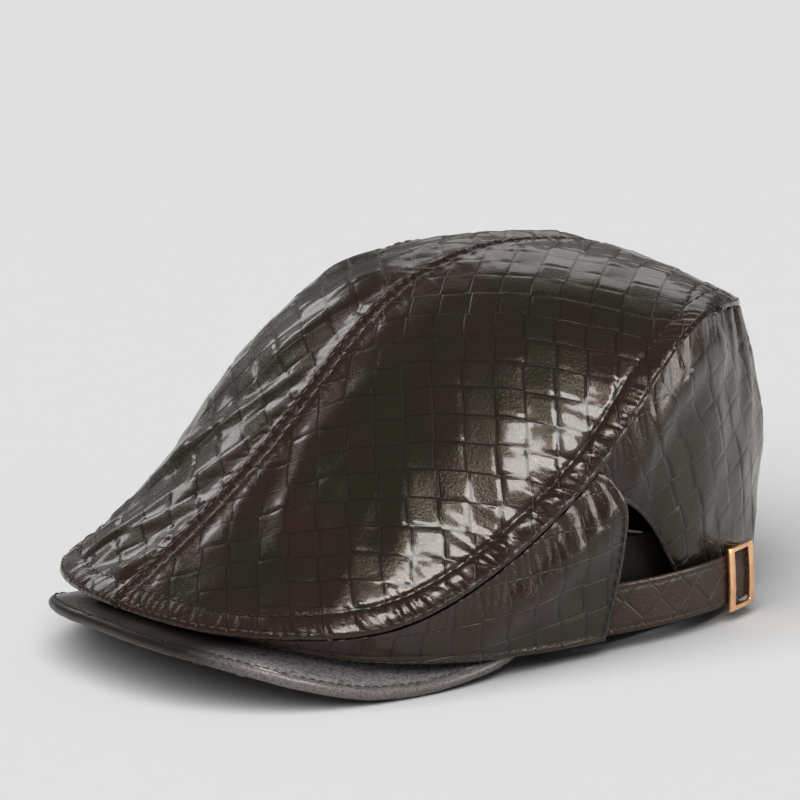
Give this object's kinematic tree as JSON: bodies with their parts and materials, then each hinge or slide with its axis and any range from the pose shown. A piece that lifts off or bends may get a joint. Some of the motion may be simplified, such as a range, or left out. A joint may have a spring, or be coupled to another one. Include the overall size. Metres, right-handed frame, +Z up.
{
  "type": "flat cap",
  "caption": "Leather duckbill flat cap with a seamed crown, stiff bill, lined head opening and buckled side straps.",
  "frame": {"origin": "on the surface the cap stands on, under the middle of its bounding box", "axes": "+Z up, -Y towards the bill, +X towards the wearer's left"},
  "size_m": [0.194, 0.2712, 0.1286],
  "materials": {
    "embossed_leather": "glossy dark brown leather with an embossed basket weave",
    "bill_leather": "dark brown pebbled leather, semi-gloss",
    "strap_leather": "dark brown embossed leather, edge stitched",
    "sweatband_leather": "matt dark brown leather",
    "satin_lining": "dark satin",
    "interlining": "grey bonded padding",
    "woven_tape": "herringbone woven tape",
    "bill_board": "stiff moulded sheet",
    "buckle_metal": "polished rose gold plating",
    "woven_label": "blank woven label"
  },
  "bodies": {
    "cap": {"crown_left_panel": "embossed_leather", "crown_right_panel": "embossed_leather", "side_left_panel": "embossed_leather", "side_right_panel": "embossed_leather", "back_panel": "embossed_leather", "crown_left_interlining": "interlining", "crown_right_interlining": "interlining", "crown_left_lining": "satin_lining", "crown_right_lining": "satin_lining", "side_left_lining": "satin_lining", "side_right_lining": "satin_lining", "back_lining": "satin_lining", "centre_seam_tape": "woven_tape", "bill_top_leather": "bill_leather", "bill_under_leather": "bill_leather", "bill_edge_binding": "bill_leather", "bill_board": "bill_board", "sweatband": "sweatband_leather", "buckle_keeper_left": "strap_leather", "buckle_keeper_right": "strap_leather", "buckle_left": "buckle_metal", "buckle_right": "buckle_metal", "size_label": "woven_label"},
    "strap_left": {"strap_left": "strap_leather"},
    "strap_right": {"strap_right": "strap_leather"}
  },
  "joints": [
    {"name": "strap_left_slide", "type": "hinge", "parent": "cap", "child": "strap_left", "pos_m": [-0.025, 0.04, 0.015], "axis": [0, 0, 1], "range_deg": [0, 8]},
    {"name": "strap_right_slide", "type": "hinge", "parent": "cap", "child": "strap_right", "pos_m": [0.025, 0.04, 0.015], "axis": [0, 0, -1], "range_deg": [0, 8]}
  ]
}
